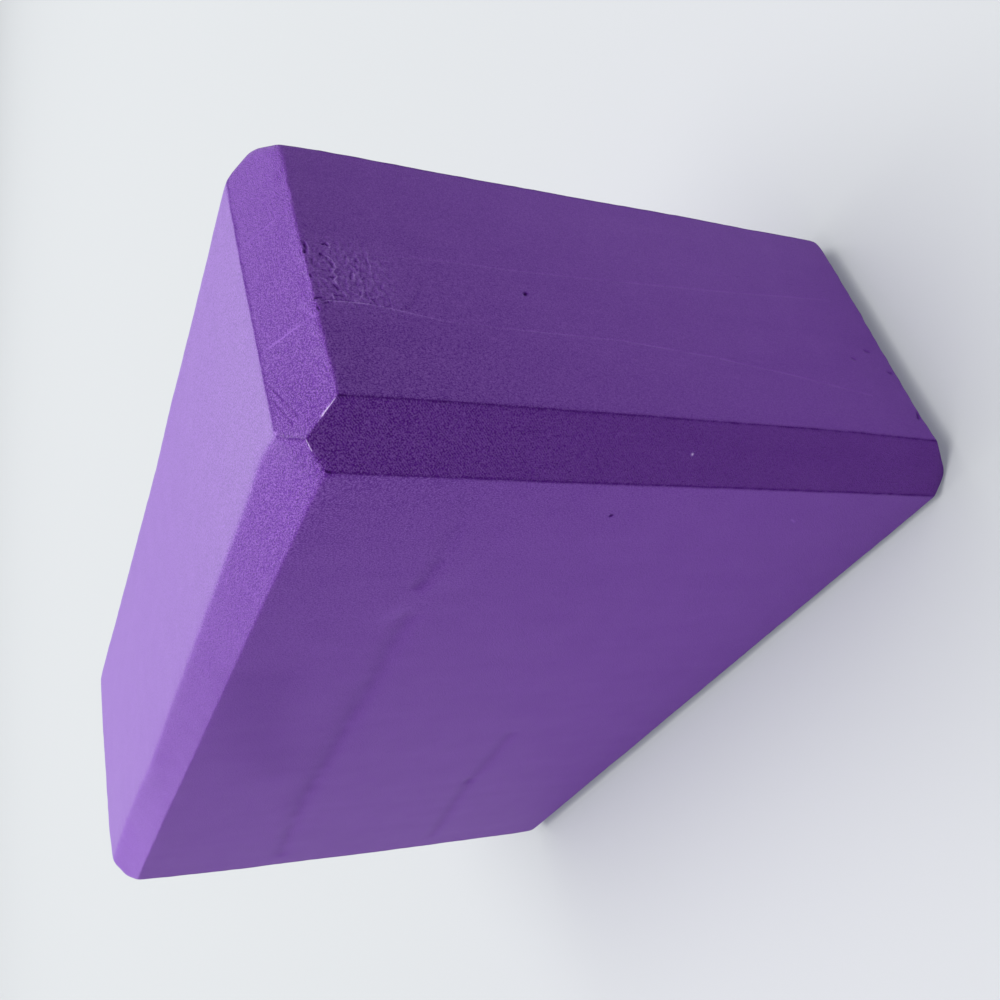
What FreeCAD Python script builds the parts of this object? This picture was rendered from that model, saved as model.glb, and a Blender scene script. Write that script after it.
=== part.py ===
"""A bevelled yoga block: three foam sheets stacked through its thickness and held by two films of glue."""
import FreeCAD
import Part
import Sketcher
import os
from enum import IntEnum

# X runs along the block, Y through its thickness from the front face to the rear face, and Z up.
# The origin is the middle of the face that the block stands on. All sizes are in millimetres.
SIZES = {
    "block_length": 228.0,
    "block_height": 152.0,
    "sheet_thickness": 26.5,
    "glue_thickness": 0.25,
    # Bevel across each end of the top and the bottom: its reach along the block and its drop.
    "end_bevel_reach": 12.0,
    "end_bevel_drop": 7.3,
    # Bevel down each upright edge of the front and rear faces: its reach along the block and into it.
    "upright_bevel_reach": 9.9,
    "upright_bevel_depth": 8.7,
    # Bevel along each long edge of the front and rear faces: its drop and its depth into the block.
    "long_bevel_drop": 6.3,
    "long_bevel_depth": 8.6,
}

# The stack from the front face to the rear face, each layer with the size that sets its thickness.
STACK = {
    "front_foam_sheet": "sheet_thickness",
    "front_glue_film": "glue_thickness",
    "middle_foam_sheet": "sheet_thickness",
    "rear_glue_film": "glue_thickness",
    "rear_foam_sheet": "sheet_thickness",
}
OUTER_SHEETS = ("front_foam_sheet", "rear_foam_sheet")

HALF_TURN = 180.0


class Axis(IntEnum):
    """A sketch's own numbers for its axes."""
    ACROSS = -1
    UP = -2


class End(IntEnum):
    """A sketch's own numbers for an edge's two ends."""
    START = 1
    FINISH = 2


START = End.START
END = End.FINISH


def add_sizes(doc):
    """The driving dimensions, one named cell each."""
    sheet = doc.addObject("Spreadsheet::Sheet", "Sizes")
    for row, (name, value) in enumerate(SIZES.items(), start=1):
        sheet.set(f"A{row}", name)
        sheet.set(f"B{row}", str(value))
        sheet.setAlias(f"B{row}", name)
    doc.recompute()
    return sheet


def new_sketch(body, name, role):
    """An empty sketch on one of the body's own origin planes."""
    plane = next(item for item in body.Origin.OriginFeatures if item.Role == role)
    sketch = body.newObject("Sketcher::SketchObject", name)
    sketch.AttachmentSupport = (plane, [""])
    sketch.MapMode = "FlatFace"
    return sketch


def add_loop(sketch, corners):
    """A closed loop of straight edges through the corners. Returns the edges' numbers."""
    edges = []
    for (x0, y0), (x1, y1) in zip(corners, corners[1:] + corners[:1]):
        line = Part.LineSegment(FreeCAD.Vector(x0, y0, 0), FreeCAD.Vector(x1, y1, 0))
        edges.append(sketch.addGeometry(line))
    for edge, following in zip(edges, edges[1:] + edges[:1]):
        sketch.addConstraint(Sketcher.Constraint("Coincident", edge, END, following, START))
    return edges


def add_size(sketch, kind, first, second, expression):
    """A distance from one end of an edge to another, bound to the named sizes."""
    number = sketch.addConstraint(Sketcher.Constraint(kind, *first, *second, 1.0))
    sketch.setExpression(f"Constraints[{number}]", expression)


def mirror_ends(sketch, first, second):
    """Keeps two ends on opposite sides of the sketch's upright axis."""
    sketch.addConstraint(Sketcher.Constraint("Symmetric", *first, *second, Axis.UP))


def draw_outline(body, sheet):
    """The block's outline seen from the front: a rectangle that stands on the axis, with bevelled corners."""
    half = sheet.block_length / 2
    inner = half - sheet.end_bevel_reach
    low = sheet.end_bevel_drop
    top = sheet.block_height
    high = top - low
    sketch = new_sketch(body, f"{body.Name}_outline", "XZ_Plane")
    base, base_right, right, top_right, crown, _, left, _ = add_loop(sketch, [
        (-inner, 0), (inner, 0), (half, low), (half, high),
        (inner, top), (-inner, top), (-half, high), (-half, low)])
    mirror_ends(sketch, (base, START), (base, END))
    mirror_ends(sketch, (crown, END), (crown, START))
    mirror_ends(sketch, (left, END), (right, START))
    mirror_ends(sketch, (left, START), (right, END))
    sketch.addConstraint(Sketcher.Constraint("Vertical", right))
    sketch.addConstraint(Sketcher.Constraint("PointOnObject", base, START, Axis.ACROSS))
    add_size(sketch, "DistanceX", (left, END), (right, START), "Sizes.block_length")
    add_size(sketch, "DistanceY", (base, END), (crown, START), "Sizes.block_height")
    add_size(sketch, "DistanceX", (base_right, START), (base_right, END), "Sizes.end_bevel_reach")
    add_size(sketch, "DistanceY", (base_right, START), (base_right, END), "Sizes.end_bevel_drop")
    add_size(sketch, "DistanceX", (top_right, END), (top_right, START), "Sizes.end_bevel_reach")
    add_size(sketch, "DistanceY", (top_right, START), (top_right, END), "Sizes.end_bevel_drop")
    return sketch


def add_layer(doc, sheet, name, thickness):
    """One layer of the stack, with its outer side at Y = 0 until it is placed."""
    body = doc.addObject("PartDesign::Body", name)
    body.Label = name
    pad = body.newObject("PartDesign::Pad", f"{name}_pad")
    pad.Profile = draw_outline(body, sheet)
    pad.Reversed = True
    pad.setExpression("Length", f"Sizes.{thickness}")
    doc.recompute()
    return body


def draw_upright_bevels(body, sheet):
    """Two corner triangles, seen from above, at the ends of the sheet's outer face."""
    half = sheet.block_length / 2
    inner = half - sheet.upright_bevel_reach
    depth = sheet.upright_bevel_depth
    sketch = new_sketch(body, f"{body.Name}_upright_bevels", "XY_Plane")
    right_face, right_end, _ = add_loop(sketch, [(inner, 0), (half, 0), (half, depth)])
    left_end, left_face, _ = add_loop(sketch, [(-half, depth), (-half, 0), (-inner, 0)])
    mirror_ends(sketch, (left_face, START), (right_face, END))
    mirror_ends(sketch, (left_face, END), (right_face, START))
    mirror_ends(sketch, (left_end, START), (right_end, END))
    sketch.addConstraint(Sketcher.Constraint("PointOnObject", right_face, START, Axis.ACROSS))
    sketch.addConstraint(Sketcher.Constraint("PointOnObject", right_face, END, Axis.ACROSS))
    sketch.addConstraint(Sketcher.Constraint("Vertical", right_end))
    add_size(sketch, "DistanceX", (left_face, START), (right_face, END), "Sizes.block_length")
    add_size(sketch, "DistanceX", (right_face, START), (right_face, END), "Sizes.upright_bevel_reach")
    add_size(sketch, "DistanceY", (right_end, START), (right_end, END), "Sizes.upright_bevel_depth")
    return sketch


def draw_long_bevels(body, sheet):
    """Two corner triangles, seen from the end, at the foot and the top of the sheet's outer face."""
    top = sheet.block_height
    drop = sheet.long_bevel_drop
    depth = sheet.long_bevel_depth
    sketch = new_sketch(body, f"{body.Name}_long_bevels", "YZ_Plane")
    foot, _, foot_face = add_loop(sketch, [(0, 0), (depth, 0), (0, drop)])
    crown_face, crown, _ = add_loop(sketch, [(0, top - drop), (0, top), (depth, top)])
    for edge in (foot_face, crown_face):
        sketch.addConstraint(Sketcher.Constraint("PointOnObject", edge, START, Axis.UP))
        sketch.addConstraint(Sketcher.Constraint("PointOnObject", edge, END, Axis.UP))
    sketch.addConstraint(Sketcher.Constraint("PointOnObject", foot, START, Axis.ACROSS))
    for edge in (foot, crown):
        sketch.addConstraint(Sketcher.Constraint("Horizontal", edge))
        add_size(sketch, "DistanceX", (edge, START), (edge, END), "Sizes.long_bevel_depth")
    add_size(sketch, "DistanceY", (foot_face, END), (foot_face, START), "Sizes.long_bevel_drop")
    add_size(sketch, "DistanceY", (crown_face, START), (crown_face, END), "Sizes.long_bevel_drop")
    add_size(sketch, "DistanceY", (foot, START), (crown, START), "Sizes.block_height")
    return sketch


def cut_bevels(doc, body, sketch):
    """Cuts a sketch's triangles away along the whole body, and makes sure that they were cut."""
    before = body.Shape.Volume
    pocket = body.newObject("PartDesign::Pocket", f"{sketch.Name}_cut")
    pocket.Profile = sketch
    pocket.Type = "ThroughAll"
    pocket.SideType = "Symmetric"
    doc.recompute()
    if not body.Shape.Volume < before:
        raise RuntimeError(f"{sketch.Name} cut nothing")


def stack_depth(thicknesses):
    """The depth of some layers together, as an expression."""
    return " + ".join(f"Sizes.{thickness}" for thickness in thicknesses) or "0"


def place_layer(body, thicknesses, index):
    """Puts a layer in the stack, which is centred on Y = 0. The rear sheet faces the other way."""
    half = f"({stack_depth(thicknesses)}) / 2"
    if index == len(thicknesses) - 1:
        body.Placement.Rotation = FreeCAD.Rotation(FreeCAD.Vector(0, 0, 1), HALF_TURN)
        body.setExpression("Placement.Base.y", half)
    else:
        body.setExpression("Placement.Base.y", f"{stack_depth(thicknesses[:index])} - {half}")


def check_and_write(doc, layers):
    """Stops at anything that failed, then writes one file for each layer."""
    for item in doc.Objects:
        if "Invalid" in item.State or "Error" in item.State:
            raise RuntimeError(f"{item.Label} failed")
    for layer in layers:
        if layer.Shape.isNull() or not layer.Shape.isValid():
            raise RuntimeError(f"{layer.Label} has no valid shape")
    os.makedirs("parts", exist_ok=True)
    for layer in layers:
        layer.Shape.exportStep(f"parts/{layer.Label}.step")


def main():
    doc = FreeCAD.newDocument("yoga_block")
    sheet = add_sizes(doc)
    thicknesses = list(STACK.values())
    layers = []
    for index, (name, thickness) in enumerate(STACK.items()):
        body = add_layer(doc, sheet, name, thickness)
        if name in OUTER_SHEETS:
            cut_bevels(doc, body, draw_upright_bevels(body, sheet))
            cut_bevels(doc, body, draw_long_bevels(body, sheet))
        place_layer(body, thicknesses, index)
        layers.append(body)
    doc.recompute()
    check_and_write(doc, layers)


main()
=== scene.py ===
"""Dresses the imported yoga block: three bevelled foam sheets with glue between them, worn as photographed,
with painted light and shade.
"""
import itertools
import math

import bmesh
import bpy
import numpy as np
from mathutils import Matrix, Vector, noise


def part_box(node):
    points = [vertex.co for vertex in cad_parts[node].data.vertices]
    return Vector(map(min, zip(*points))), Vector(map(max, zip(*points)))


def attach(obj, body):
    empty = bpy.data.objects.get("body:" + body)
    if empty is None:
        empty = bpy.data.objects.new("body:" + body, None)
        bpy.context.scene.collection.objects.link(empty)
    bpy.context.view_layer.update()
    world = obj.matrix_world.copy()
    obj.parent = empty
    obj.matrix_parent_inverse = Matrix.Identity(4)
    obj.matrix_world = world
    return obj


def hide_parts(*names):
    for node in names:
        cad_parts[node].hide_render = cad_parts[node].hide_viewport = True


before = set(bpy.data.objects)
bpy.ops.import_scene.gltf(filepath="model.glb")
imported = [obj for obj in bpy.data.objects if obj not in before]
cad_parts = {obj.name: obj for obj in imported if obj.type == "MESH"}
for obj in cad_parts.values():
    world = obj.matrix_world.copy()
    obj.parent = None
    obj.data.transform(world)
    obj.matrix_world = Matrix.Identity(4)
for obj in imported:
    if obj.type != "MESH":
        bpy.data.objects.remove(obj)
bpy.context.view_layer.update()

MM = 0.001
X, Y, Z = 0, 1, 2
LOW = np.array(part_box("front_foam_sheet")[0])
HIGH = np.array(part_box("rear_foam_sheet")[1])

# The two legs of each kind of bevel: an axis, and the reach along it from the square edge.
END_BEVEL = ((X, 12.0 * MM), (Z, 7.3 * MM))
UPRIGHT_BEVEL = ((X, 9.9 * MM), (Y, 8.7 * MM))
LONG_BEVEL = ((Y, 8.6 * MM), (Z, 6.3 * MM))
BEVELS = (END_BEVEL, UPRIGHT_BEVEL, LONG_BEVEL)


# Planes of the block

def face_planes():
    """Outward normals and distances of the block's six flat faces."""
    for axis in (X, Y, Z):
        for side, corner in ((-1, LOW), (1, HIGH)):
            normal = np.zeros(3)
            normal[axis] = side
            yield normal, side * corner[axis]


def bevel_planes(first, second):
    """Outward normals and distances of the four bevels of one kind."""
    (axis_a, leg_a), (axis_b, leg_b) = first, second
    for side_a, corner_a in ((-1, LOW), (1, HIGH)):
        for side_b, corner_b in ((-1, LOW), (1, HIGH)):
            normal = np.zeros(3)
            normal[axis_a] = side_a / leg_a
            normal[axis_b] = side_b / leg_b
            normal /= np.linalg.norm(normal)
            start = np.zeros(3)
            start[axis_a] = corner_a[axis_a] - side_a * leg_a
            start[axis_b] = corner_b[axis_b]
            yield normal, normal @ start


FACES = list(face_planes())
CUTS = [plane for bevel in BEVELS for plane in bevel_planes(*bevel)]
NORMALS = np.array([normal for normal, _ in FACES + CUTS])
DISTANCES = np.array([distance for _, distance in FACES + CUTS])
# The planes' places in those lists.
ENDS = [0, 1]
BIG_FACES = [2, 3]
BASE_AND_TOP = [4, 5]
END_BEVELS = slice(6, 10)
UPRIGHT_BEVELS = slice(10, 14)
LONG_BEVELS = slice(14, 18)


# Marks on the photographed end and front

def on_end(*points):
    """Points of the near end face, each given as millimetres across and up."""
    return [Vector((HIGH[X], across * MM, up * MM)) for across, up in points]


def on_front(*points):
    """Points of the front face, each given as millimetres along and up."""
    return [Vector((along * MM, LOW[Y], up * MM)) for along, up in points]


def at(*points):
    """Points given as millimetres along, across and up."""
    return [Vector(point) * MM for point in points]


# Each mark: its line, its half width and depth in millimetres, and its tint, dark below zero and pale above.
# A negative depth is a raised lip.
# In these scuffs the dark tints of sunk marks are painted shade in their hollows, and the pale tints of raised
# lips are painted light on them.
SCUFFS = [
    # Torn crescents.
    (on_end((4.0, 144.2), (3.1, 143.9), (2.2, 144.1), (1.2, 144.5)), 0.18, 0.42, -0.70),
    (on_end((3.8, 143.6), (2.6, 143.4), (1.5, 143.7)), 0.15, -0.08, 0.21),
    (on_end((3.9, 140.7), (4.3, 140.1), (3.7, 139.8)), 0.16, 0.34, -0.60),
    (on_end((4.2, 139.5), (3.6, 139.3), (3.1, 139.6)), 0.14, -0.08, 0.27),
    (on_end((1.4, 141.6), (1.1, 141.4)), 0.22, 0.39, -0.70),
    # A jagged crack, and the rubs that run into it from the bevel.
    (on_end((1.1, 141.2), (0.8, 140.7), (0.5, 140.5)), 0.14, 0.22, -0.25),
    (on_end((-0.7, 140.0), (-1.3, 139.9), (-1.9, 139.8)), 0.14, 0.20, -0.25),
    (on_end((1.0, 140.8), (0.7, 140.2), (0.35, 140.0), (0.1, 139.6), (-0.4, 139.6), (-0.9, 139.35),
            (-1.3, 139.5), (-1.8, 139.25), (-2.2, 139.35), (-2.7, 139.8), (-3.2, 140.0), (-3.7, 139.8),
            (-4.1, 139.45), (-4.6, 139.7), (-5.1, 140.15), (-5.6, 140.1), (-6.2, 139.7), (-6.9, 139.3),
            (-7.4, 139.2), (-7.9, 138.9), (-8.8, 138.6)), 0.11, -0.10, 0.33),
    (on_end((-2.8, 142.4), (-2.9, 141.4), (-2.8, 140.4)), 0.14, 0.10, -0.18),
    (on_end((-4.5, 142.6), (-4.4, 141.6)), 0.13, 0.05, -0.10),
    (on_end((-4.4, 141.0), (-4.3, 140.1)), 0.14, 0.24, -0.45),
    (on_end((-5.2, 143.2), (-5.1, 141.6)), 0.15, -0.04, 0.08),
    (on_end((-6.3, 144.0), (-6.1, 142.6), (-6.0, 141.6)), 0.14, 0.06, -0.10),
    (on_end((-7.3, 143.6), (-7.2, 142.2), (-7.0, 141.0)), 0.14, 0.06, -0.12),
    (on_end((-6.2, 140.3), (-6.8, 140.0), (-7.2, 139.7)), 0.15, 0.24, -0.42),
    (on_end((-8.8, 140.9), (-8.8, 140.0), (-8.9, 139.1)), 0.14, 0.20, -0.34),
    (on_end((-8.5, 141.1), (-9.1, 141.2), (-9.7, 141.0)), 0.14, -0.09, 0.26),
    # Faint scratches beyond the crack.
    (on_end((1.5, 136.9), (0.2, 137.1)), 0.14, 0.10, -0.13),
    (on_end((1.5, 136.4), (0.1, 136.5)), 0.14, -0.05, 0.16),
    (on_end((-2.6, 136.6), (-4.3, 137.0)), 0.15, 0.15, -0.25),
    (on_end((-2.2, 136.0), (-3.6, 136.2), (-4.8, 136.4)), 0.13, -0.05, 0.19),
    (on_end((-1.2, 135.9), (-3.4, 135.2), (-5.0, 135.1)), 0.16, -0.03, 0.08),
    (on_end((0.3, 133.6), (0.4, 132.9)), 0.14, 0.11, -0.17),
    (on_end((2.1, 132.6), (1.0, 132.7), (0.0, 132.4), (-1.0, 132.6)), 0.12, -0.06, 0.19),
    (on_end((-1.6, 132.5), (-3.0, 132.9), (-4.6, 132.8)), 0.13, -0.03, 0.10),
    (on_end((-0.9, 134.5), (-1.9, 134.7)), 0.16, 0.10, -0.14),
    (on_end((-4.1, 134.9), (-3.2, 133.6)), 0.16, 0.11, -0.17),
    (on_end((1.0, 135.0), (0.7, 135.0)), 0.20, 0.14, -0.22),
    (on_end((-0.4, 143.3), (-1.6, 143.5)), 0.20, 0.20, -0.30),
    (on_end((-4.3, 144.3), (-4.7, 144.3)), 0.20, 0.22, -0.40),
    # A gash, and the ridge below it that runs on as the first long scratch.
    (on_end((-10.1, 145.2), (-9.9, 144.2), (-9.8, 143.3)), 0.16, 0.42, -0.70),
    (on_end((-11.4, 145.6), (-11.0, 144.9), (-10.7, 144.1), (-10.4, 142.2), (-10.2, 139.3), (-10.1, 137.5),
            (-10.1, 133.3)), 0.14, -0.13, 0.36),
    (on_end((-10.8, 144.3), (-10.1, 142.2), (-9.9, 139.3), (-9.8, 137.5)), 0.16, 0.11, -0.16),
    (on_end((-8.7, 133.9), (-9.1, 133.5)), 0.15, 0.20, -0.29),
    (on_end((-9.8, 134.4), (-10.0, 133.2)), 0.15, 0.18, -0.26),
    (on_end((-10.9, 142.8), (-10.7, 142.2)), 0.16, 0.20, -0.29),
    (on_end((-6.6, 135.2), (-7.9, 135.4), (-9.1, 136.2)), 0.13, -0.06, 0.19),
    (on_end((-7.3, 135.8), (-7.9, 135.9), (-8.4, 136.3)), 0.15, 0.10, -0.15),
    (on_end((-7.1, 134.8), (-7.9, 134.6)), 0.14, 0.14, -0.21),
    (on_end((-11.7, 145.2), (-11.9, 144.6), (-12.7, 144.5)), 0.18, 0.17, -0.26),
    (on_end((-10.2, 131.7), (-10.0, 130.6)), 0.16, 0.14, -0.21),
    (on_end((-10.3, 128.6), (-9.9, 127.0)), 0.16, 0.14, -0.18),
]
SCRATCHES = [
    # Two long faint scratches down the end face, the first one clearer where it starts.
    (on_end((-10.1, 133.3), (-10.4, 130.9), (-10.8, 128.7), (-11.5, 124.6), (-12.0, 121.5)),
     0.14, -0.05, 0.14),
    (on_end((-10.1, 133.3), (-10.8, 128.7), (-12.0, 121.5), (-12.2, 104.2), (-11.9, 82.5), (-13.6, 60.7),
            (-16.3, 40.9), (-20.2, 18.9)), 0.20, 0.06, 0.10),
    (on_end((1.9, 135.4), (2.9, 130.2), (3.9, 122.5), (4.2, 111.8), (4.2, 103.6), (4.7, 90.7), (7.1, 51.2),
            (9.8, 15.6)), 0.22, 0.05, 0.07),
    (on_end((-2.3, 122.9), (-6.5, 125.0), (-10.4, 127.1)), 0.35, 0.05, -0.08),
    # Nicks near the foot of the end face, painted dark inside as shade.
    (on_end((-6.0, 13.0), (-6.3, 12.6), (-6.3, 12.0)), 0.35, 0.22, -0.25),
    (on_end((-9.0, 18.4), (-9.3, 17.8)), 0.35, 0.18, -0.20),
    (on_end((-12.2, 9.6), (-12.5, 9.3), (-12.4, 8.8)), 0.35, 0.22, -0.25),
    (on_end((-25.4, 8.6), (-24.9, 8.1), (-24.3, 8.0)), 0.40, 0.35, -0.40),
    # A pinhole in the end and one in the front, painted dark inside as shade.
    (on_end((-2.2, 101.2), (-1.9, 101.0)), 0.34, 0.40, -1.2),
    (on_front((93.9, 84.1), (93.8, 84.1)), 0.33, 0.20, -1.6),
    # A light scuff on the front, and the saw's overrun across the top bevel of the near end.
    (on_front((93.7, 37.4), (93.4, 36.6), (92.9, 35.8)), 0.22, 0.05, 0.16),
    (at((103.1, -21.6, 151.4), (107.0, -30.7, 149.0)), 0.22, 0.08, -0.20),
    (at((102.9, -24.5, 151.4), (106.0, -31.6, 149.6)), 0.22, 0.07, -0.16),
    # A speck caught in the upright bevel.
    (at((109.0, -35.7, 72.3), (108.9, -35.8, 72.2)), 0.19, -0.05, 1.6),
    # Glue showing across the near end's top bevel, and smeared beside it.
    (at((104.3, -13.4, 150.6), (110.3, -13.4, 146.9)), 0.22, 0.0, 0.15),
    (at((111.6, -9.6, 146.1), (112.4, -12.0, 145.7), (113.0, -13.2, 145.3)), 0.45, 0.0, 0.10),
    # Slivers torn up on the edges of the near corner, painted pale as highlights where they catch the light.
    (at((113.5, -31.7, 145.0), (112.1, -32.7, 145.9), (111.1, -33.6, 146.5)), 0.11, -0.05, 3.0),
    (at((111.1, -33.6, 146.5), (110.3, -34.4, 147.0)), 0.09, -0.03, 0.8),
    (at((108.0, -36.5, 148.30), (106.7, -37.6, 147.45)), 0.11, -0.05, 3.0),
    (at((102.2, -30.4, 151.9), (102.2, -31.0, 151.9)), 0.20, -0.03, 0.8),
    # Painted shadow in the pockets where the saw cuts run out.
    (at((114.0, -31.4, 144.3), (114.0, -31.3, 143.3)), 0.22, 0.12, -0.8),
    (at((104.3, -39.9, 145.2), (103.9, -40.0, 144.4)), 0.22, 0.12, -0.8),
    (at((108.4, -36.1, 148.1), (108.9, -35.7, 147.8)), 0.25, 0.10, -0.7),
]
# Soft creases pressed across the front face, with painted shade along them and painted light beside them, and
# a broad band that is only darker in colour.
CREASES = [
    (on_front((97.3, 116.4), (88.4, 115.6), (77.0, 114.5)), 1.7, 0.10, -0.03),
    (on_front((77.0, 114.5), (72.0, 114.8), (67.7, 115.2)), 1.5, 0.20, -0.08),
    (on_front((55.4, 113.2), (45.8, 113.0), (30.1, 111.6), (3.5, 110.8), (-28.2, 109.0), (-46.1, 108.6),
              (-86.4, 104.2), (-94.0, 103.0)), 2.1, 0.30, -0.10),
    (on_front((20.0, 113.5), (-25.2, 111.5), (-46.7, 110.5)), 5.0, 0.10, -0.05),
    (on_front((30.0, 138.0), (-1.6, 131.2), (-19.1, 123.0)), 9.0, 0.0, -0.08),
    (on_front((-13.0, 57.7), (-37.4, 56.1), (-47.0, 56.3), (-90.3, 51.1), (-95.0, 50.5)), 1.9, 0.22, -0.08),
    (on_front((-46.4, 56.5), (-47.8, 56.1)), 1.3, 0.30, -0.10),
    (on_front((69.4, 114.6), (67.8, 115.2)), 1.4, 0.16, -0.08),
    (on_front((57.6, 116.2), (55.0, 117.0)), 2.4, 0.0, 0.04),
    (on_front((55.3, 119.0), (65.4, 112.0), (75.9, 105.6)), 3.0, 0.0, 0.02),
]


def along_and_away(points, start, end):
    """How far along a straight stretch each point lies, from 0 to 1, and its distance from the stretch."""
    start, run = np.array(start), np.array(end - start)
    along = np.clip((points - start) @ run / (run @ run), 0.0, 1.0)
    return along, np.linalg.norm(points - start - along[:, None] * run, axis=1)


def distance_to_line(points, line):
    """Each point's distance from the nearest stretch of a line."""
    return np.min([along_and_away(points, start, end)[1] for start, end in zip(line, line[1:])], axis=0)


# The worn surface, with painted shade and light in its marks

# How blunt a sawn edge is, and what is added along the base and top, the big faces and the ends.
CRISP_EDGE = 0.06 * MM
TOP_EDGE = 0.22 * MM
FACE_EDGE = 0.06 * MM
END_EDGE = 0.10 * MM
EDGE_SEARCH = 1.5 * MM
WORN_CORNER = 1.3 * MM
CORNER_REACH = 10.0 * MM
NEAR_CORNER = np.array((HIGH[X], LOW[Y], HIGH[Z]))
NEAR_FOOT = np.array((HIGH[X], LOW[Y], LOW[Z]))
# Places that are blunter than the rest, all corners but the near two among them: a point, how far from it,
# and how blunt.
BLUNT_SPOTS = [
    (np.array((105.2, -39.0, 146.5)) * MM, 2.0 * MM, 0.30 * MM),
    (np.array((104.0, -40.0, 145.2)) * MM, 3.0 * MM, 0.15 * MM),
    (np.array((108.1, -36.5, 3.7)) * MM, 4.0 * MM, 0.40 * MM),
]
for corner in itertools.product(*zip(LOW, HIGH)):
    if corner not in (tuple(NEAR_CORNER), tuple(NEAR_FOOT)):
        BLUNT_SPOTS.append((np.array(corner), CORNER_REACH, WORN_CORNER))
SETTLING_STEPS = 5

# Waves all over the surface: the length of a hump, and its depth.
BROAD_WAVE = 38.0 * MM
BROAD_DEPTH = 0.10 * MM
SHORT_WAVE = 9.0 * MM
SHORT_DEPTH = 0.03 * MM
# The rubbed patch at the top of the near end, with dents of two sizes that are drawn out across the block.
SCUFF_ACROSS = -3.5 * MM
SCUFF_UP = 137.0 * MM
SCUFF_REACH = 8.5 * MM
SCUFF_TINT = 0.06
DENT_STRETCH = (1.0, 0.6, 1.0)
DENT_LENGTH = 0.75 * MM
DENT_DEPTH = 0.18 * MM
# Deeper dents get painted shade, and the bumps between them painted light.
DENT_SHADE = 0.15
FINE_DENT_LENGTH = 0.40 * MM
FINE_DENT_SHARE = 0.6
# The tint of a line with more points than this comes and goes along it.
LONG_LINE = 5
BREAK_LENGTH = 5.0 * MM
BREAK_MEAN = 0.7
BREAK_SWING = 0.9
# A share below this counts as none.
FAINT = 0.02
# How far apart the places are that two seeds in a row take their noise from.
SEED_STEP = Vector((17.0, 31.0, 47.0))


def noise_at(points, length, seed):
    """Smooth noise over the points, with humps of about a length."""
    shift = seed * SEED_STEP
    return np.array([noise.noise(Vector(point) + shift) for point in points / length])


def shares(heights, soft):
    """How much each plane counts in the rounded surface near each point."""
    share = np.exp((heights - heights.max(axis=1)[:, None]) / soft)
    return share / share.sum(axis=1)[:, None]


def plane_heights(points):
    """Heights over every plane, one column each."""
    return points @ NORMALS.T - DISTANCES


def of_kind(share, planes):
    """How much of each point's surface belongs to planes of one kind."""
    return share[:, planes].sum(axis=1)


def on_edges(share, first, second):
    """How near each point is to the edges between two kinds of plane, with 1 on the edges themselves."""
    return 4 * of_kind(share, first) * of_kind(share, second)


def rounding(points):
    """Saw cuts leave crisp edges, the long edges are softer, and some spots and corners are worn."""
    share = shares(plane_heights(points), EDGE_SEARCH)
    soft = (CRISP_EDGE
            + TOP_EDGE * on_edges(share, LONG_BEVELS, BASE_AND_TOP)
            + FACE_EDGE * on_edges(share, LONG_BEVELS, BIG_FACES)
            + END_EDGE * on_edges(share, END_BEVELS, ENDS))
    for spot, reach, blunt in BLUNT_SPOTS:
        soft += blunt * np.exp(-(np.linalg.norm(points - spot, axis=1) / reach) ** 2)
    return soft


def settle(points, depth, soft):
    """Moves points onto the rounded block's surface, each sunk by its depth."""
    points = points.copy()
    for _ in range(SETTLING_STEPS):
        heights = plane_heights(points)
        highest = heights.max(axis=1)
        share = np.exp((heights - highest[:, None]) / soft[:, None])
        total = share.sum(axis=1)
        slope = (share / total[:, None]) @ NORMALS
        level = highest + soft * np.log(total)
        points -= slope * ((level + depth) / (slope ** 2).sum(axis=1))[:, None]
    return points


def scuffing(points):
    """How much of the rubbed patch at the top of the near end each point has, from 0 to 1."""
    across = (points[:, Y] - SCUFF_ACROSS) / SCUFF_REACH
    up = (points[:, Z] - SCUFF_UP) / SCUFF_REACH
    return np.exp(-across ** 4 - up ** 4) * (points[:, X] > HIGH[X] - EDGE_SEARCH)


def wear(points):
    """Depth of the hollows, waves and scratches at each point, and the tint of the marks, with painted shade
    in hollows and painted light on lips.
    """
    depth = (BROAD_DEPTH * (1 + noise_at(points, BROAD_WAVE, seed=1))
             + SHORT_DEPTH * (1 + noise_at(points, SHORT_WAVE, seed=2)))
    tint = np.zeros(len(points))
    rubbed = scuffing(points)
    patch = np.nonzero(rubbed > FAINT)[0]
    stretched = points[patch] * DENT_STRETCH
    rough = noise_at(stretched, DENT_LENGTH, seed=10)
    rough += FINE_DENT_SHARE * noise_at(stretched, FINE_DENT_LENGTH, seed=11)
    depth[patch] += DENT_DEPTH * rubbed[patch] * rough
    # The patch's own paler colour, with painted shade in the deeper dents and painted light on the bumps.
    tint[patch] += rubbed[patch] * (SCUFF_TINT - DENT_SHADE * rough)
    broken = np.clip(BREAK_MEAN + BREAK_SWING * noise_at(points, BREAK_LENGTH, seed=12), 0.0, 1.0)
    # The marks' tints, with painted shade in their hollows and painted light on their lips.
    for line, width, sunk, paling in SCUFFS + SCRATCHES + CREASES:
        near = np.exp(-(distance_to_line(points, line) / (width * MM)) ** 2)
        depth += sunk * MM * near
        tint += paling * near * (broken if len(line) > LONG_LINE else 1.0)
    return depth, tint


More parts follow.
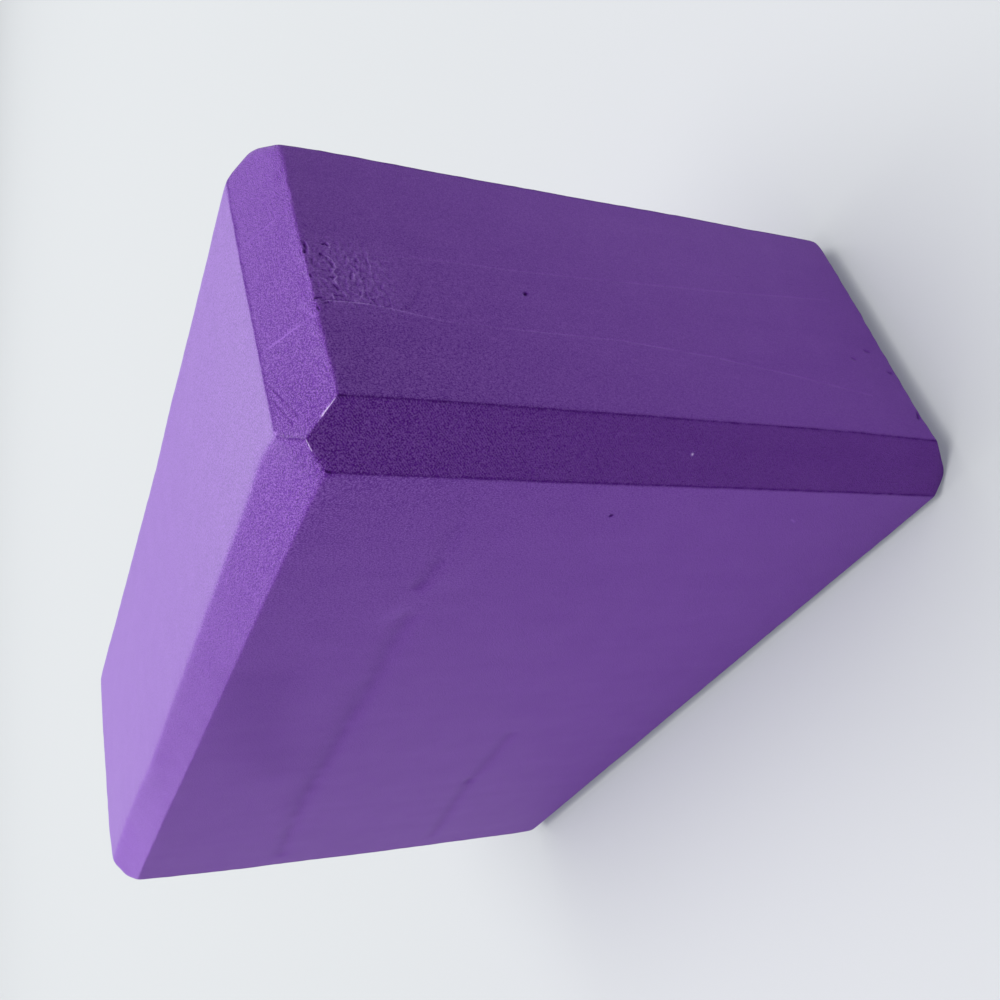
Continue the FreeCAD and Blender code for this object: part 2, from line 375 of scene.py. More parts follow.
# Edges that the saw left out of true: each edge's line, the axis that it strays along, and how many
# millimetres it strays at its two ends.
UNEVEN_EDGES = [
    # The foot of the front, of the near upright bevel and of the near end, which run low at the near corner.
    (at((-104.1, -40.0, 6.3), (14.0, -40.0, 6.3)), Z, -0.7, -2.6),
    (at((14.0, -40.0, 6.3), (60.0, -40.0, 6.3)), Z, -2.6, -3.6),
    (at((60.0, -40.0, 6.3), (104.1, -40.0, 6.3)), Z, -3.6, -4.1),
    (at((104.1, -40.0, 6.3), (108.1, -36.5, 3.7)), Z, -4.2, -3.6),
    (at((108.1, -36.5, 3.7), (114.0, -31.3, 7.3)), Z, -3.6, -1.0),
    (at((114.0, -31.3, 7.3), (114.0, -24.0, 7.3)), Z, -1.0, -0.6),
    (at((114.0, -24.0, 7.3), (114.0, 31.3, 7.3)), Z, -0.6, -1.3),
    # The far upright edge of the front, and the bevels' meeting at its top.
    (at((-104.1, -40.0, 6.3), (-104.1, -40.0, 44.0)), X, -3.6, -3.0),
    (at((-104.1, -40.0, 44.0), (-104.1, -40.0, 108.0)), X, -3.0, -0.1),
    (at((-104.1, -40.0, 108.0), (-104.1, -40.0, 145.7)), X, -0.1, 3.5),
    (at((-104.1, -40.0, 145.7), (-108.1, -36.5, 148.3)), X, 3.5, 1.6),
    (at((-108.1, -36.5, 148.3), (-102.0, -31.4, 152.0)), X, 1.6, -1.4),
    # The upright edges of the near end.
    (at((114.0, -31.3, 144.7), (114.0, -31.3, 115.0)), Y, -0.3, 0.0),
    (at((114.0, -31.3, 30.0), (114.0, -31.3, 7.3)), Y, 0.0, -0.9),
    (at((114.0, 31.3, 120.0), (114.0, 31.3, 7.3)), Y, 0.0, 0.9),
    # The top's rear, far, near and front edges.
    (at((-102.0, 31.4, 152.0), (8.0, 31.4, 152.0)), Y, -0.8, -1.3),
    (at((8.0, 31.4, 152.0), (102.0, 31.4, 152.0)), Y, -1.3, 2.3),
    (at((-102.0, -31.4, 152.0), (-102.0, -18.0, 152.0)), X, -1.4, -3.9),
    (at((-102.0, -18.0, 152.0), (-102.0, 31.4, 152.0)), X, -3.9, -3.8),
    (at((102.0, -31.4, 152.0), (102.0, -14.0, 152.0)), X, 1.3, 0.2),
    (at((102.0, -14.0, 152.0), (102.0, 31.4, 152.0)), X, 0.2, -0.7),
    (at((102.0, -31.4, 152.0), (94.0, -31.4, 152.0)), Y, -1.3, 1.3),
    (at((94.0, -31.4, 152.0), (80.0, -31.4, 152.0)), Y, 1.3, 0.4),
    (at((80.0, -31.4, 152.0), (1.0, -31.4, 152.0)), Y, 0.4, -0.4),
    (at((1.0, -31.4, 152.0), (-30.0, -31.4, 152.0)), Y, -0.4, -1.2),
    (at((-30.0, -31.4, 152.0), (-70.0, -31.4, 152.0)), Y, -1.2, 0.4),
    (at((-70.0, -31.4, 152.0), (-102.0, -31.4, 152.0)), Y, 0.4, -0.8),
    # The near corner, where the bevels come to a sharper point.
    (at((108.1, -36.5, 148.3), (114.0, -31.3, 144.7)), Z, 1.0, -0.75),
    (at((108.1, -36.5, 148.3), (104.1, -40.0, 145.7)), Z, 0.7, -0.9),
    (at((114.0, -31.3, 144.7), (114.0, 31.3, 144.7)), Z, -0.3, 0.3),
    (at((104.1, -40.0, 145.7), (35.0, -40.0, 145.7)), Z, -0.5, -0.1),
    (at((35.0, -40.0, 145.7), (-45.0, -40.0, 145.7)), Z, -0.1, 0.2),
    (at((-45.0, -40.0, 145.7), (-104.1, -40.0, 145.7)), Z, 0.2, 0.0),
]
UNEVEN_REACH = 6.0 * MM
# Stands in for a weight where no such edge is near.
LEAST_WEIGHT = 1e-9
# The blade's wavering along all edges, slow and quick: the length of a wave, and how far it strays.
SLOW_WAVER = 26.0 * MM
SLOW_STRAY = 0.15 * MM
QUICK_WAVER = 3.0 * MM
QUICK_STRAY = 0.07 * MM
# Chips in the edges between the ends and their bevels.
CHIP_LENGTH = 2.6 * MM
CHIP_HEIGHT = 0.30 * MM
# Dark hairlines along edges: how wide and how ragged they are, and how dark each kind is.
HAIRLINE_WIDTH = 0.10 * MM
RAGGED_LENGTH = 1.6 * MM
RAGGED_MEAN = 0.8
RAGGED_SWING = 0.6
# The hairlines along the upright bevels are painted shade in the undercut the saw left.
SAWN_EDGE_SHADE = 0.55
MEETING_LINE = 0.5
BRINK_LINE = 0.65


def straying(points):
    """How far the edges are out of true at each point, with the small wavering of the blade."""
    total = np.zeros_like(points)
    weight = np.full_like(points, LEAST_WEIGHT)
    nearest = np.zeros_like(points)
    for (start, end), axis, first, last in UNEVEN_EDGES:
        along, distance = along_and_away(points, start, end)
        near = np.exp(-(distance / UNEVEN_REACH) ** 2)
        total[:, axis] += near * (first + along * (last - first)) * MM
        weight[:, axis] += near
        nearest[:, axis] = np.maximum(nearest[:, axis], near)
    move = nearest * total / weight
    share = shares(plane_heights(points), EDGE_SEARCH)
    nearness = 2 * (1 - share.max(axis=1))
    edges = np.nonzero(nearness > FAINT)[0]
    for axis in (X, Y, Z):
        slow = SLOW_STRAY * noise_at(points[edges], SLOW_WAVER, seed=4 + axis)
        quick = QUICK_STRAY * noise_at(points[edges], QUICK_WAVER, seed=7 + axis)
        move[edges, axis] += nearness[edges] * (slow + quick)
    chipped = on_edges(share, END_BEVELS, ENDS)
    edges = np.nonzero(chipped > FAINT)[0]
    move[edges, Z] += chipped[edges] * CHIP_HEIGHT * noise_at(points[edges], CHIP_LENGTH, seed=13)
    return move


def edge_tint(points):
    """Ragged dark hairlines: painted shade where the upright bevels were sawn, and dark lines where the end
    bevels meet the others.
    """
    share = shares(plane_heights(points), HAIRLINE_WIDTH)
    sawn = on_edges(share, UPRIGHT_BEVELS, ENDS + BIG_FACES)
    meeting = on_edges(share, END_BEVELS, LONG_BEVELS)
    brink = on_edges(share, END_BEVELS, BASE_AND_TOP) * of_kind(share, END_BEVELS)
    ragged = RAGGED_MEAN + RAGGED_SWING * noise_at(points, RAGGED_LENGTH, seed=3)
    return -ragged * (SAWN_EDGE_SHADE * sawn + MEETING_LINE * meeting + BRINK_LINE * brink)


# Meshes

# The steps of the grid along each axis, and into how many cuts its sides are divided for fine marks.
GRID = (1.2 * MM, 1.1 * MM, 1.2 * MM)
FINE_CUTS = 4
FINEST_CUTS = 9
# A face of the grid has at most so many corners, one beside a finer stretch has more, and a glued face far
# more still.
GRID_CORNERS = 8
BORDER_CORNERS = 60
FOUR_SIDED = 4
RIDGE_WIDTH = 0.35 * MM
RIDGE_SEGMENTS = 3
RIDGE_MARGIN = 0.45 * MM
TOUCHING = 0.001 * MM
# How much of the rubbed patch a face needs to be divided most finely.
RUBBED = 0.1
# How far the finished surface keeps inside the block's box.
CLEARANCE = 0.01 * MM


def whole(bm):
    """All of a mesh."""
    return [*bm.verts, *bm.edges, *bm.faces]


def bevelled_blank(low, high):
    """A plain block between two corners, with the bevels that reach it sawn off."""
    bm = bmesh.new()
    bmesh.ops.create_cube(bm, size=1.0)
    bmesh.ops.scale(bm, verts=bm.verts, vec=high - low)
    bmesh.ops.translate(bm, verts=bm.verts, vec=(low + high) / 2)
    for normal, distance in CUTS:
        sawn = bmesh.ops.bisect_plane(bm, geom=whole(bm), dist=TOUCHING, plane_co=normal * distance,
                                      plane_no=normal, clear_outer=True)
        rim = [item for item in sawn["geom_cut"] if isinstance(item, bmesh.types.BMEdge)]
        bmesh.ops.holes_fill(bm, edges=rim, sides=0)
    bmesh.ops.recalc_face_normals(bm, faces=bm.faces)
    return bm


def slice_faces(bm, faces, axis, lines):
    """Cuts faces across an axis at each of the lines, the middle one first."""
    if not lines or not faces:
        return
    middle = len(lines) // 2
    place, direction = Vector(), Vector()
    place[axis] = lines[middle]
    direction[axis] = 1.0
    edges = {edge for face in faces for edge in face.edges}
    cut = bmesh.ops.bisect_plane(bm, geom=[*edges, *faces], dist=TOUCHING, plane_co=place, plane_no=direction)
    faces = [item for item in cut["geom"] if isinstance(item, bmesh.types.BMFace)]
    below = [face for face in faces if face.calc_center_median()[axis] < lines[middle]]
    above = [face for face in faces if face.calc_center_median()[axis] >= lines[middle]]
    slice_faces(bm, below, axis, lines[:middle])
    slice_faces(bm, above, axis, lines[middle + 1:])


def refine(bm, faces, cuts):
    """Divides each side of some faces of the grid."""
    edges = {edge for face in faces for edge in face.edges if edge.calc_length() > GRID[Y] / 2}
    bmesh.ops.subdivide_edges(bm, edges=list(edges), cuts=cuts, use_grid_fill=True)


def refine_marks(bm):
    """Finer mesh where there are fine marks, and the finest on the scuffed patch."""
    faces = [face for face in bm.faces if len(face.verts) <= GRID_CORNERS]
    centres = np.array([face.calc_center_median() for face in faces])
    rubbed = scuffing(centres) > RUBBED
    marked = np.zeros(len(faces), bool)
    for line, width, _, _ in SCRATCHES:
        marked |= distance_to_line(centres, line) < 2 * width * MM + GRID[Y] / 2
    marked &= ~rubbed
    fine = [face for face, chosen in zip(faces, marked) if chosen]
    finest = [face for face, chosen in zip(faces, rubbed) if chosen]
    refine(bm, fine, FINE_CUTS)
    refine(bm, [face for face in finest if face.is_valid], FINEST_CUTS)
    bordering = [face for face in bm.faces if FOUR_SIDED < len(face.verts) < BORDER_CORNERS]
    bmesh.ops.triangulate(bm, faces=bordering, quad_method="BEAUTY", ngon_method="BEAUTY")


def sheet_mesh(name, low, high, glued_sides):
    """One layer's mesh: a bevelled blank with rounded ridges and a grid on the sides that show."""
    bm = bevelled_blank(low, high)
    glued = {face for face in bm.faces if round(face.normal.y) in glued_sides}
    ridges = [edge for edge in bm.edges if not glued.intersection(edge.link_faces)]
    bmesh.ops.bevel(bm, geom=ridges, offset=RIDGE_WIDTH, offset_type="OFFSET", segments=RIDGE_SEGMENTS,
                    profile=0.5, affect="EDGES", material=-1)
    glued = {face for face in bm.faces if round(face.normal.y, 3) in glued_sides}
    if high.y - low.y > 4 * RIDGE_MARGIN:
        flats = [face for face in bm.faces
                 if face not in glued and face.calc_area() > RIDGE_MARGIN * face.calc_perimeter()]
        bmesh.ops.inset_individual(bm, faces=flats, thickness=RIDGE_MARGIN, use_even_offset=True)
    for axis in (X, Z, Y):
        count = math.ceil((high[axis] - low[axis]) / GRID[axis])
        lines = list(np.linspace(low[axis], high[axis], count + 1)[1:-1])
        slice_faces(bm, [face for face in bm.faces if face not in glued], axis, lines)
    refine_marks(bm)
    for face in bm.faces:
        face.smooth = True
    for edge in bm.edges:
        edge.smooth = not glued.intersection(edge.link_faces)
    mesh = bpy.data.meshes.new(name)
    bm.to_mesh(mesh)
    bm.free()
    return mesh


# Pieces

# How sharply the kinds of surface change over at an edge.
CHANGE_OVER = 0.12 * MM
# How far the painted shade, coarser grain and extra gloss at the near corner reach, and the painted shade at
# the near foot.
NEAR_CORNER_REACH = 60.0 * MM
FOOT_SHADE_REACH = 40.0 * MM
# The tone of each kind of surface, which is painted light and shade, with painted light far along the long
# bevels and painted shade near the corner, high up and near the foot.
TOP_TONE = 0.965
LONG_BEVEL_TONE = 1.06
LONG_BEVEL_FAR_REFLECTION = 0.26
END_BEVEL_TONE = 0.97
UPRIGHT_BEVEL_TONE = 0.84
END_TONE = 1.01
END_SHADE_NEAR_CORNER = 0.14
END_SHADE_HIGH_UP = 0.11
END_FOOT_SHADE = 0.05
FACE_TONE = 1.19
FACE_SHADE_NEAR_CORNER = 0.12
FACE_FOOT_SHADE = 0.16
HIGH_UP_POWER = 3
# The gloss of each kind of surface, and how far a mark takes it away.
TOP_GLOSS = 0.53
TOP_GLOSS_NEAR_CORNER = 0.58
LONG_BEVEL_GLOSS = 0.66
END_BEVEL_GLOSS = 0.55
END_GLOSS = 0.20
FACE_GLOSS = 0.23
MARK_DULLING = 2.0
# How coarse the grain is away from the near corner, at it, and more so on the top.
LEAST_GRAIN = 0.12
GRAIN_NEAR_CORNER = 1.1
GRAIN_NEAR_CORNER_POWER = 1.5
TOP_GRAIN = 1.3


def closeness(points, place, reach):
    """How close each point is to a place: 1 there, and half that at the reach."""
    return 1 / (1 + (np.linalg.norm(points - place, axis=1) / reach) ** 2)


def surface_values(points, tint):
    """What the materials need at each point: how it was cut, and its grain, tone of painted light and shade,
    gloss, and marks with painted shade and light.
    """
    share = shares(plane_heights(points), CHANGE_OVER)
    ends = of_kind(share, ENDS)
    big_faces = of_kind(share, BIG_FACES)
    base_and_top = of_kind(share, BASE_AND_TOP)
    end_bevels = of_kind(share, END_BEVELS)
    upright_bevels = of_kind(share, UPRIGHT_BEVELS)
    long_bevels = of_kind(share, LONG_BEVELS)
    near_corner_closeness = closeness(points, NEAR_CORNER, NEAR_CORNER_REACH)
    foot_shade = closeness(points, NEAR_FOOT, FOOT_SHADE_REACH)
    far = np.clip(points[:, X] / LOW[X], 0, 1)
    high_up = (points[:, Z] / HIGH[Z]) ** HIGH_UP_POWER
    # The tone paints light and shade: lighter far along the long bevels, darker near the corner, high on the
    # end and near the foot.
    tone = (TOP_TONE * base_and_top
            + (LONG_BEVEL_TONE + LONG_BEVEL_FAR_REFLECTION * far) * long_bevels
            + END_BEVEL_TONE * end_bevels
            + UPRIGHT_BEVEL_TONE * upright_bevels
            + (END_TONE - END_SHADE_NEAR_CORNER * near_corner_closeness - END_SHADE_HIGH_UP * high_up - END_FOOT_SHADE * foot_shade) * ends
            + (FACE_TONE - FACE_SHADE_NEAR_CORNER * near_corner_closeness - FACE_FOOT_SHADE * foot_shade) * big_faces)
    gloss = ((TOP_GLOSS + TOP_GLOSS_NEAR_CORNER * near_corner_closeness) * base_and_top
             + LONG_BEVEL_GLOSS * long_bevels
             + END_BEVEL_GLOSS * end_bevels
             + END_GLOSS * ends
             + FACE_GLOSS * big_faces)
    grain = LEAST_GRAIN + GRAIN_NEAR_CORNER * near_corner_closeness ** GRAIN_NEAR_CORNER_POWER
    marks_and_shading = np.clip(tint + edge_tint(points), -1, 1)
    return {
        "cut": upright_bevels + end_bevels + long_bevels,
        "deep": upright_bevels,
        "coarse": grain * (1 + TOP_GRAIN * base_and_top),
        "tone": tone,
        "gloss": gloss * np.clip(1 - MARK_DULLING * np.abs(marks_and_shading), 0, 1),
        "marks_and_shading": marks_and_shading,
    }


def layer_piece(name, node_name, glued_sides):
    """One layer of the block in its node's place, sawn and worn."""
    low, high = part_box(node_name)
    mesh = sheet_mesh(name, low, high, glued_sides)
    points = np.empty(len(mesh.vertices) * 3)
    mesh.vertices.foreach_get("co", points)
    points = points.reshape(-1, 3)
    depth, tint = wear(points)
    settled = settle(points, depth, rounding(points)) + straying(points)
    mesh.vertices.foreach_set("co", np.clip(settled, LOW + CLEARANCE, HIGH - CLEARANCE).ravel())
    mesh.update()
    for value_name, values in surface_values(points, tint).items():
        mesh.attributes.new(value_name, "FLOAT", "POINT").data.foreach_set("value", values)
    piece = bpy.data.objects.new(name, mesh)
    bpy.context.scene.collection.objects.link(piece)
    return piece


# Materials

# The foam's colour in its dark and its pale cells, and the pale colour of freshly torn foam and of painted
# glints.
DARK_CELLS = (0.123, 0.010, 0.331, 1.0)
PALE_CELLS = (0.309, 0.115, 0.592, 1.0)
TORN_FOAM_AND_GLINT = (0.86, 0.74, 1.0, 1.0)
# How marks change the colour's value, and how a pale one turns to the colour of torn foam and painted glints.
PALE_GAIN = 0.9
DARK_GAIN = 0.6
TORN_AND_GLINT_START = 0.25
TORN_AND_GLINT_RISE = 0.75
# The middle of a noise texture's values, and of the distances within a cell.
NOISE_MIDDLE = 0.5
CELL_MIDDLE = 0.45
# The foam's cells, and how their pits and bumps count in the height and the tone.
CELL_SIZE = 0.30 * MM
PIT_HEIGHT = 0.8
PIT_TONE = 0.5
BUMP_TONE = 1.6
# How strongly the cells show in the colour on a face, and what a bevel and an upright bevel add to that.
CELL_SHADE = 1.6
CUT_SHADE = 0.9
DEEP_SHADE = -0.8
# The saw's lines: the way across them, their spacing, and the scales of their wavering and fading.
SAW_DIRECTION = (-0.511, -0.448, 0.730)
SAW_SPACING = 0.42 * MM
SAW_WAVER = 2.0
SAW_WAVER_SCALE = 400.0
SAW_FADING_SCALE = 180.0
SAW_SHADE = 0.32
SAW_RELIEF = 0.12
# Cloudy and streaky changes of shade.
MOTTLE_SCALE = 120.0
MOTTLE_DETAIL = 3.0
MOTTLE_SHADE = 0.14
STREAK_SCALE = (150.0, 180.0, 20.0)
STREAK_SHADE = 0.14
# The relief and roughness of a face, and what a bevel adds.
RELIEF_DEPTH = 0.30 * MM
FACE_RELIEF = 0.3
CUT_RELIEF = 0.7
FACE_ROUGHNESS = 0.5
CUT_ROUGHNESS = 0.15
# The glue's clouds, and its roughness where it is clear and what they add.
CLOUD_SCALE = 300.0
GLUE_ROUGHNESS = 0.3
CLOUD_ROUGHNESS = 0.3
COAT_ROUGHNESS = 0.37
SPECULAR_LEVEL = 0.08
# A mix node's sockets: the factor, the two colours and the mixed colour.
MIX_FACTOR = 0
MIX_FIRST = 6
MIX_SECOND = 7
MIX_RESULT = 2


def node(tree, kind, inputs=(), **settings):
    """Adds a shader node. Its inputs are plain values or other nodes' sockets."""
    new = tree.nodes.new(f"ShaderNode{kind}")
    for name, value in settings.items():
        setattr(new, name, value)
    for name, value in dict(inputs).items():
        if isinstance(value, bpy.types.NodeSocket):
            tree.links.new(value, new.inputs[name])
        else:
            new.inputs[name].default_value = value
    return new


def maths(tree, operation, first, second=0.0, third=0.0):
    """One step of arithmetic. Returns its result's socket."""
    return node(tree, "Math", {0: first, 1: second, 2: third}, operation=operation).outputs[0]


def attribute(tree, name):
    """The numbers that a piece keeps under a name, as a socket."""
    return node(tree, "Attribute", attribute_name=name).outputs["Fac"]


def blend(tree, factor, first, second):
    """Mixes two colours. Returns the mixed colour's socket."""
    inputs = {MIX_FACTOR: factor, MIX_FIRST: first, MIX_SECOND: second}
    return node(tree, "Mix", inputs, data_type="RGBA").outputs[MIX_RESULT]


def noise_texture(tree, position, scale, detail=2.0):
    """Smooth noise over a position. Returns its value's socket."""
    return node(tree, "TexNoise", {"Vector": position, "Scale": scale, "Detail": detail}).outputs["Fac"]


def new_group(name, inputs, outputs):
    """An empty node group with named sockets of given kinds, and its two ends."""
    group = bpy.data.node_groups.new(name, "ShaderNodeTree")
    for socket, kind in inputs.items():
        group.interface.new_socket(socket, in_out="INPUT", socket_type=f"NodeSocket{kind}")
    for socket, kind in outputs.items():
        group.interface.new_socket(socket, in_out="OUTPUT", socket_type=f"NodeSocket{kind}")
    return group, group.nodes.new("NodeGroupInput"), group.nodes.new("NodeGroupOutput")


def foam_grain_group():
    """Closed cells of foam: a height and a tone, both about zero, for a given cell size."""
    group, given, result = new_group("foam_grain", {"Position": "Vector", "Cell Size": "Float"},
                                     {"Height": "Float", "Tone": "Float"})
    position = given.outputs["Position"]
    scale = maths(group, "DIVIDE", 1.0, given.outputs["Cell Size"])
    cells = node(group, "TexVoronoi", {"Vector": position, "Scale": scale})
    pits = maths(group, "SUBTRACT", CELL_MIDDLE, cells.outputs["Distance"])
    bumps = maths(group, "SUBTRACT", noise_texture(group, position, scale), NOISE_MIDDLE)
    height = maths(group, "MULTIPLY_ADD", pits, PIT_HEIGHT, bumps)
    tone = maths(group, "MULTIPLY_ADD", bumps, BUMP_TONE, maths(group, "MULTIPLY", pits, PIT_TONE))
    group.links.new(height, result.inputs["Height"])
    group.links.new(tone, result.inputs["Tone"])
    return group


def saw_marks_group():
    """Fine lines left by the blade, which crossed every bevel the same way: a height about zero."""
    group, given, result = new_group("saw_marks", {"Position": "Vector", "Spacing": "Float"},
                                     {"Height": "Float"})
    position = given.outputs["Position"]
    across = node(group, "VectorMath", {0: position, 1: SAW_DIRECTION}, operation="DOT_PRODUCT")
    turns = maths(group, "DIVIDE", across.outputs["Value"], given.outputs["Spacing"])
    turns = maths(group, "MULTIPLY_ADD", noise_texture(group, position, SAW_WAVER_SCALE), SAW_WAVER, turns)
    lines = maths(group, "SINE", maths(group, "MULTIPLY", turns, 2 * math.pi))
    fading = noise_texture(group, position, SAW_FADING_SCALE)
    group.links.new(maths(group, "MULTIPLY", lines, fading), result.inputs["Height"])
    return group


def worn_and_shaded_colour_group():
    """The foam's colour for a given shade of its cells, darkened or paled by a tone of painted light and shade
    and by marks that carry painted shade and glints.
    """
    group, given, result = new_group("worn_and_shaded_colour", {"Shade": "Float", "Tone": "Float", "Marks And Shading": "Float"},
                                     {"Color": "Color"})
    marks_and_shading = given.outputs["Marks And Shading"]
    colour = blend(group, maths(group, "ADD", given.outputs["Shade"], marks_and_shading), DARK_CELLS, PALE_CELLS)
    dark = maths(group, "MINIMUM", marks_and_shading, 0.0)
    pale = maths(group, "MAXIMUM", marks_and_shading, 0.0)
    value = maths(group, "MULTIPLY_ADD", pale, PALE_GAIN, maths(group, "MULTIPLY_ADD", dark, DARK_GAIN, 1.0))
    value = maths(group, "MULTIPLY", value, given.outputs["Tone"])
    toned = node(group, "HueSaturation", {"Value": value, "Color": colour}).outputs["Color"]
    torn_and_glint = maths(group, "MULTIPLY", pale, maths(group, "MULTIPLY_ADD", pale, TORN_AND_GLINT_RISE, TORN_AND_GLINT_START))
    group.links.new(blend(group, torn_and_glint, toned, TORN_FOAM_AND_GLINT), result.inputs["Color"])
    return group


def block_material(name):
    """A material with the block's own sheen. Returns it with its node tree, shader and position."""
    material = bpy.data.materials.new(name)
    material.use_nodes = True
    tree = material.node_tree
    shader = tree.nodes["Principled BSDF"]
    tree.links.new(attribute(tree, "gloss"), shader.inputs["Coat Weight"])
    shader.inputs["Coat Roughness"].default_value = COAT_ROUGHNESS
    shader.inputs["Specular IOR Level"].default_value = SPECULAR_LEVEL
    return material, tree, shader, node(tree, "TexCoord").outputs["Object"]


def worn_and_shaded_colour(tree, group, shade):
    """Places the colour group in a material, for the piece's tone of painted light and shade and its marks.
    Returns its socket.
    """
    inputs = {"Shade": shade, "Tone": attribute(tree, "tone"), "Marks And Shading": attribute(tree, "marks_and_shading")}
    return node(tree, "Group", inputs, node_tree=group).outputs["Color"]


def foam_material(grain, saw_marks, colour):
    """Purple closed-cell foam: smooth moulded skin on the faces, open sawn cells on the bevels."""
    foam, tree, shader, position = block_material("purple_foam")
    cut = attribute(tree, "cut")
    deep = attribute(tree, "deep")
    coarse = attribute(tree, "coarse")

    cells = node(tree, "Group", {"Position": position, "Cell Size": CELL_SIZE}, node_tree=grain)
    saw = node(tree, "Group", {"Position": position, "Spacing": SAW_SPACING}, node_tree=saw_marks)
    sawn = maths(tree, "MULTIPLY", maths(tree, "MULTIPLY", saw.outputs["Height"], deep), coarse)
    mottle = maths(tree, "SUBTRACT", noise_texture(tree, position, MOTTLE_SCALE, MOTTLE_DETAIL), NOISE_MIDDLE)
    drawn_out = node(tree, "Mapping", {"Vector": position, "Scale": STREAK_SCALE}).outputs["Vector"]
    streaks = maths(tree, "SUBTRACT", noise_texture(tree, drawn_out, 1.0), NOISE_MIDDLE)

    strength = maths(tree, "MULTIPLY_ADD", cut, CUT_SHADE, CELL_SHADE)
    strength = maths(tree, "MULTIPLY_ADD", deep, DEEP_SHADE, strength)
    strength = maths(tree, "MULTIPLY", strength, coarse)
    shade = maths(tree, "MULTIPLY_ADD", cells.outputs["Tone"], strength, NOISE_MIDDLE)
    shade = maths(tree, "MULTIPLY_ADD", mottle, MOTTLE_SHADE, shade)
    shade = maths(tree, "MULTIPLY_ADD", streaks, STREAK_SHADE, shade)
    shade = maths(tree, "MULTIPLY_ADD", sawn, SAW_SHADE, shade)
    tree.links.new(worn_and_shaded_colour(tree, colour, shade), shader.inputs["Base Color"])

    relief = maths(tree, "MULTIPLY_ADD", cut, CUT_RELIEF, FACE_RELIEF)
    relief = maths(tree, "MULTIPLY", cells.outputs["Height"], relief)
    relief = maths(tree, "MULTIPLY_ADD", sawn, SAW_RELIEF, relief)
    bump = node(tree, "Bump", {"Height": relief, "Strength": 1.0, "Distance": RELIEF_DEPTH})
    tree.links.new(bump.outputs["Normal"], shader.inputs["Normal"])
    roughness = maths(tree, "MULTIPLY_ADD", cut, CUT_ROUGHNESS, FACE_ROUGHNESS)
    tree.links.new(roughness, shader.inputs["Roughness"])
    return foam


def glue_material(colour):
    """Clear glue that takes the foam's colour: smooth, a little glossy, and cloudy in places."""
    glue, tree, shader, position = block_material("clear_glue")
    cloud = noise_texture(tree, position, CLOUD_SCALE)
    tree.links.new(worn_and_shaded_colour(tree, colour, cloud), shader.inputs["Base Color"])
    roughness = maths(tree, "MULTIPLY_ADD", cloud, CLOUD_ROUGHNESS, GLUE_ROUGHNESS)
    tree.links.new(roughness, shader.inputs["Roughness"])
    return glue


# Stage, light and camera

FLOOR_SIZE = 40.0
FLOOR_COLOUR = (0.474, 0.482, 0.482, 1.0)
FLOOR_GLOW = (0.138, 0.149, 0.172, 1.0)
FLOOR_ROUGHNESS = 0.9
BLACK = (0.0, 0.0, 0.0, 1.0)
ROOM_COLOUR = (0.95, 0.98, 0.98, 1.0)
CAMERA_PLACE = (0.2320, -0.1379, 0.1984)
CAMERA_AZIMUTH = math.radians(53.80)
CAMERA_DOWN = math.radians(27.90)
CAMERA_ROLL = math.radians(88.46)
CAMERA_LENS = 37.49
CAMERA_CLIP = 0.01


def add_floor():
    """A plain pale floor under the block, which the camera sees a little lighter in its shadows."""
    bm = bmesh.new()
    bmesh.ops.create_grid(bm, x_segments=1, y_segments=1, size=FLOOR_SIZE / 2)
    mesh = bpy.data.meshes.new("floor")
    bm.to_mesh(mesh)
    bm.free()
    floor = bpy.data.objects.new("floor", mesh)
    bpy.context.scene.collection.objects.link(floor)
    paper = bpy.data.materials.new("pale_paper")
    paper.use_nodes = True
    tree = paper.node_tree
    shader = tree.nodes["Principled BSDF"]
    shader.inputs["Base Color"].default_value = FLOOR_COLOUR
    shader.inputs["Roughness"].default_value = FLOOR_ROUGHNESS
    looked_at = node(tree, "LightPath").outputs["Is Camera Ray"]
    tree.links.new(blend(tree, looked_at, BLACK, FLOOR_GLOW), shader.inputs["Emission Color"])
    shader.inputs["Emission Strength"].default_value = 1.0
    mesh.materials.append(paper)


def add_softbox(name, place, aim, size, power):
    """A square soft light at a place, turned to shine on a point."""
    light = bpy.data.lights.new(name, "AREA")
    light.size = size
    light.energy = power
    lamp = bpy.data.objects.new(name, light)
    lamp.location = place
    lamp.rotation_euler = (Vector(aim) - Vector(place)).to_track_quat("-Z", "Y").to_euler()
    bpy.context.scene.collection.objects.link(lamp)


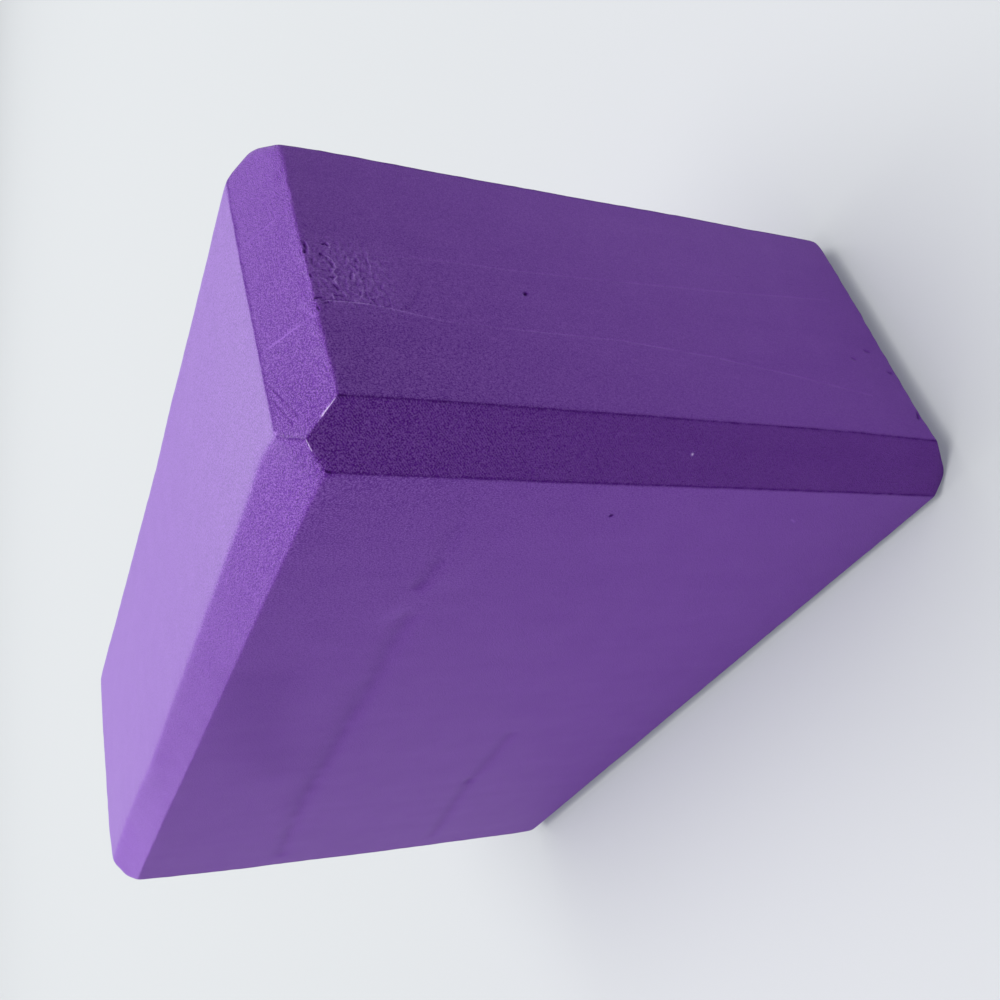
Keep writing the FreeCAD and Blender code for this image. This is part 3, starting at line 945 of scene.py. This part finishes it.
def add_room_light(fill, seen):
    """Even light from all round, in a room that the camera and reflections see as plain white."""
    world = bpy.data.worlds.new("room")
    world.use_nodes = True
    tree = world.node_tree
    sky = tree.nodes["Background"]
    sky.inputs["Color"].default_value = ROOM_COLOUR
    path = node(tree, "LightPath")
    looked_at = maths(tree, "MAXIMUM", path.outputs["Is Camera Ray"], path.outputs["Is Glossy Ray"])
    tree.links.new(maths(tree, "MULTIPLY_ADD", looked_at, seen - fill, fill), sky.inputs["Strength"])
    bpy.context.scene.world = world


def add_camera():
    """The photograph's camera, which was held on its side."""
    lens = bpy.data.cameras.new("camera")
    lens.lens = CAMERA_LENS
    lens.clip_start = CAMERA_CLIP
    camera = bpy.data.objects.new("camera", lens)
    turn = Matrix.Rotation(CAMERA_AZIMUTH, 4, "Z")
    tilt = Matrix.Rotation(math.pi / 2 - CAMERA_DOWN, 4, "X")
    roll = Matrix.Rotation(-CAMERA_ROLL, 4, "Z")
    camera.matrix_world = Matrix.Translation(CAMERA_PLACE) @ turn @ tilt @ roll
    bpy.context.scene.collection.objects.link(camera)
    bpy.context.scene.camera = camera


# The whole scene

# Each layer's name, the node that it stands for, and its glued sides: -1 to the front and 1 to the rear.
LAYERS = (
    ("front_foam", "front_foam_sheet", (1,)),
    ("middle_foam", "middle_foam_sheet", (-1, 1)),
    ("rear_foam", "rear_foam_sheet", (-1,)),
    ("front_glue", "front_glue_film", (-1, 1)),
    ("rear_glue", "rear_glue_film", (-1, 1)),
)

foam_colour = worn_and_shaded_colour_group()
foam = foam_material(foam_grain_group(), saw_marks_group(), foam_colour)
glue = glue_material(foam_colour)
for name, node_name, glued_sides in LAYERS:
    piece = layer_piece(name, node_name, glued_sides)
    piece.data.materials.append(glue if "glue" in name else foam)
    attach(piece, "root")
    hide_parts(node_name)

add_floor()
add_softbox("overhead_softbox", place=(-0.4, 0.4, 12.0), aim=(0.0, 0.0, 0.0), size=11.0, power=1900.0)
add_room_light(fill=0.27, seen=1.0)
add_camera()
bpy.context.scene.view_settings.view_transform = "Standard"
